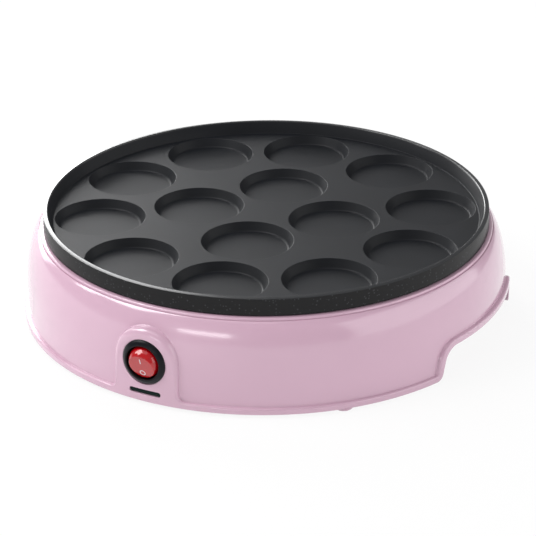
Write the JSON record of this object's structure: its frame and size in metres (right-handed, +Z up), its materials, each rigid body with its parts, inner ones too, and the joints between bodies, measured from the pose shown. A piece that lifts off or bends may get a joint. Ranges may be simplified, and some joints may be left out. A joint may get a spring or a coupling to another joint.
{
  "type": "mini pancake maker",
  "caption": "Round electric mini pancake maker: a dark plate with shallow round wells on a low glossy base with hand grips, a rocker switch and an indicator bar.",
  "frame": {"origin": "on the table, under the centre of the round plate", "axes": "+Z up out of the plate, -Y towards the switch at the front, +X to the right seen from the front"},
  "size_m": [0.2542, 0.2599, 0.0575],
  "materials": {
    "plate_coating": "dark non-stick coating on a casting, satin, fine speckle",
    "housing_pink": "glossy moulded pink",
    "cover_plastic": "moulded, fine grain",
    "screw_steel": "zinc plated",
    "brass_parts": "plain",
    "bush_rubber": "matt",
    "shield_metal": "rolled sheet",
    "element_steel": "heat-darkened tube",
    "white_ceramic": "unglazed",
    "dark_ceramic": "unglazed",
    "fuse_sleeve": "woven glass sleeve",
    "bezel_plastic": "dark grey, satin",
    "rocker_red": "translucent deep red",
    "mark_white": "printed white",
    "lens_dark": "dark tinted",
    "lamp_glass": "clear bulb",
    "block_plastic": "natural nylon",
    "wire_brown": "silicone sleeve",
    "wire_blue": "silicone sleeve",
    "wire_green": "silicone sleeve"
  },
  "bodies": {
    "appliance": {"baking_plate": "plate_coating", "base_housing": "housing_pink", "block_screws": "screw_steel", "bottom_cover": "cover_plastic", "bracket_screws": "screw_steel", "clamp_screws": "brass_parts", "clip_rivets": "screw_steel", "cord_bush": "bush_rubber", "cover_screws": "screw_steel", "earth_screw": "screw_steel", "earth_tag": "brass_parts", "element_beads": "white_ceramic", "element_pins": "brass_parts", "foot_front_left": "housing_pink", "foot_front_right": "housing_pink", "foot_rear_left": "housing_pink", "foot_rear_right": "housing_pink", "fuse_clip": "shield_metal", "heat_shield": "shield_metal", "heating_element": "element_steel", "indicator_lamp": "lamp_glass", "indicator_lens": "lens_dark", "lamp_holder": "block_plastic", "lamp_leads": "wire_blue", "plate_screws": "screw_steel", "plate_spacers": "shield_metal", "switch_base": "bezel_plastic", "switch_bezel": "bezel_plastic", "switch_terminals": "brass_parts", "terminal_block": "block_plastic", "thermal_fuse": "fuse_sleeve", "thermostat_body": "dark_ceramic", "thermostat_bracket": "shield_metal", "thermostat_cap": "shield_metal", "thermostat_terminals": "brass_parts", "wire_earth": "wire_green", "wire_element": "wire_brown", "wire_fused": "wire_blue", "wire_live": "wire_brown", "wire_neutral": "wire_blue", "wire_switched": "wire_brown"},
    "rocker": {"rocker": "rocker_red", "rocker_marks": "mark_white", "switch_plunger": "mark_white", "plunger_spring": "element_steel"},
    "contact_blade": {"contact_blade": "brass_parts"}
  },
  "joints": [
    {"name": "rocker_tilt", "type": "hinge", "parent": "appliance", "child": "rocker", "pos_m": [0, -0.1243, 0.0231], "axis": [-1, 0, 0], "range_deg": [0, 36]},
    {"name": "contact_tilt", "type": "hinge", "parent": "appliance", "child": "contact_blade", "pos_m": [0, -0.1172, 0.0231], "axis": [-1, 0, 0], "range_deg": [-16, 0]}
  ],
  "couplings": [
    {"joint": "contact_tilt", "follows": "rocker_tilt", "ratio": -0.444}
  ]
}
